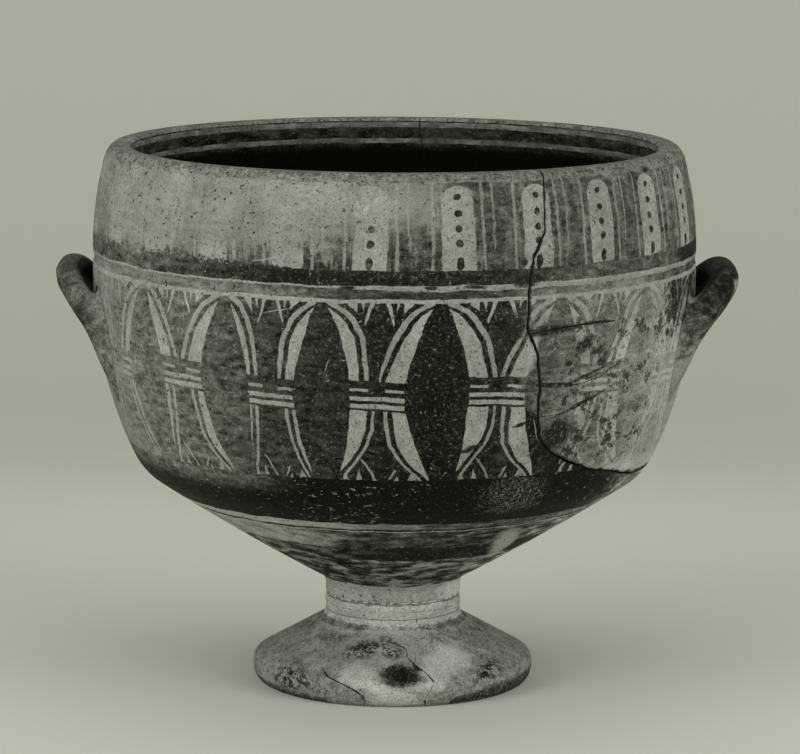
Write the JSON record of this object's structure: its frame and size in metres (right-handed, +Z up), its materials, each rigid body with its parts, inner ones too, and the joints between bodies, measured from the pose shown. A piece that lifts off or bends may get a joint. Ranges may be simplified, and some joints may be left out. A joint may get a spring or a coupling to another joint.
{
  "type": "two-handled footed bowl",
  "caption": "Deep wheel-thrown pottery bowl on a hollow foot, with upright loop handles and painted ornament, mended from fitting sherds.",
  "frame": {"origin": "middle of the ring that the foot stands on, on the wheel's axis", "axes": "+Z up along the wheel's axis, +X towards the right handle, -Y towards the front in the picture"},
  "size_m": [0.2982, 0.2642, 0.238],
  "materials": {
    "slip_painted_clay": "worn dark slip over pale fired clay, matte",
    "handle_clay": "brushed dark slip, worn, matte",
    "foot_clay": "mottled bare clay, matte",
    "plaster": "dry plaster, matte"
  },
  "bodies": {
    "root": {"bowl_body": "slip_painted_clay", "right_sherd": "slip_painted_clay", "middle_sherd": "slip_painted_clay", "lower_sherd": "slip_painted_clay", "left_handle": "handle_clay", "right_handle": "handle_clay", "stem_plaster": "plaster", "stem_drum": "foot_clay", "foot": "foot_clay", "foot_front_sherd": "foot_clay"}
  },
  "joints": []
}
